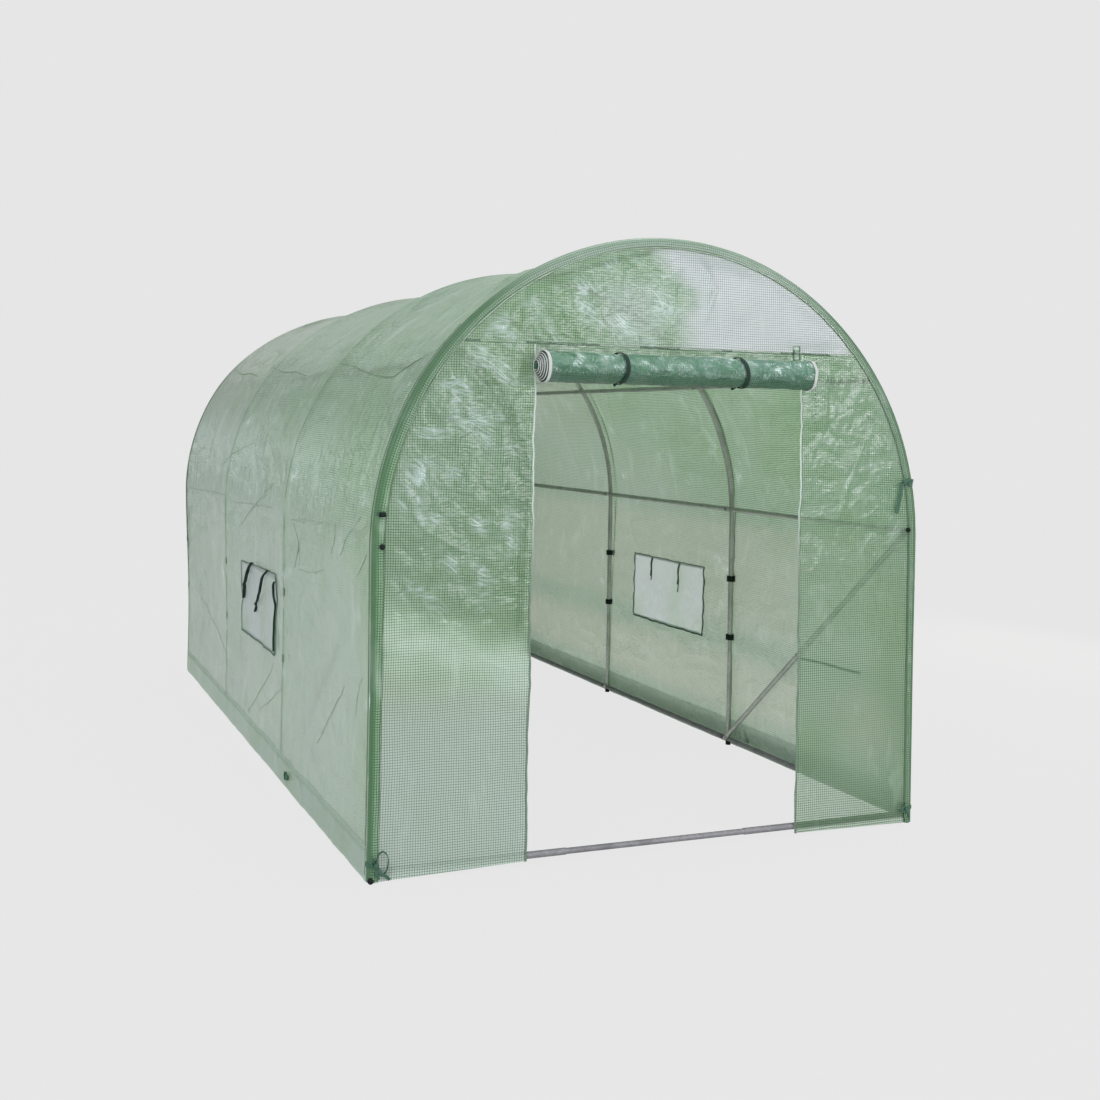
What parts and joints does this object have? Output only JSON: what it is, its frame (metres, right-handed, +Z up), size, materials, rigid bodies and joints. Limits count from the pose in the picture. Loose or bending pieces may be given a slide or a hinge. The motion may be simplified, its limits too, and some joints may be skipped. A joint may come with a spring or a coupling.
{
  "type": "walk-in polytunnel greenhouse",
  "caption": "Walk-in tunnel greenhouse: a half-round roof of steel hoops on straight posts, tied by purlins, under a translucent film cover with a rolled-up door and side windows.",
  "frame": {"origin": "on the ground, at the middle of the footprint with the rolled-up door's overhang counted in", "axes": "+X to the right seen from the doorway, +Y along the tunnel to the rear end (the doorway faces -Y), +Z up"},
  "size_m": [2, 3.6033, 2],
  "materials": {
    "galvanised_steel": "zinc coated, dull spangle, slightly streaked",
    "green_film": "translucent green film with a woven reinforcing grid, glossy and wrinkled",
    "hem_film": "doubled green film, darker where the layers lie on each other",
    "pale_film": "whitish translucent film without a grid",
    "black_plastic": "moulded, satin",
    "zip_tape": "white woven tape with small teeth",
    "green_webbing": "dark green woven strap"
  },
  "bodies": {
    "root": {"front_arch": "galvanised_steel", "second_arch": "galvanised_steel", "third_arch": "galvanised_steel", "rear_arch": "galvanised_steel", "front_posts": "galvanised_steel", "second_posts": "galvanised_steel", "third_posts": "galvanised_steel", "rear_posts": "galvanised_steel", "foot_caps": "black_plastic", "left_base_rail": "galvanised_steel", "right_base_rail": "galvanised_steel", "front_base_rail": "galvanised_steel", "rear_base_rail": "galvanised_steel", "left_side_purlin": "galvanised_steel", "right_side_purlin": "galvanised_steel", "left_shoulder_purlin": "galvanised_steel", "right_shoulder_purlin": "galvanised_steel", "ridge_purlin": "galvanised_steel", "left_brace": "galvanised_steel", "right_brace": "galvanised_steel", "left_collars": "black_plastic", "right_collars": "black_plastic", "left_wall_film": "green_film", "right_wall_film": "green_film", "left_hem": "hem_film", "right_hem": "hem_film", "left_window_flap": "pale_film", "right_window_flap": "pale_film", "right_eaves_film": "green_film", "right_shoulder_film": "green_film", "right_crown_film": "green_film", "left_crown_film": "green_film", "left_shoulder_film": "green_film", "left_eaves_film": "green_film", "front_gable_film": "green_film", "front_left_film": "green_film", "front_right_film": "green_film", "rear_gable_film": "green_film", "rear_wall_film": "green_film", "door_roll": "hem_film", "door_straps": "green_webbing", "door_zips": "zip_tape"}
  },
  "joints": []
}
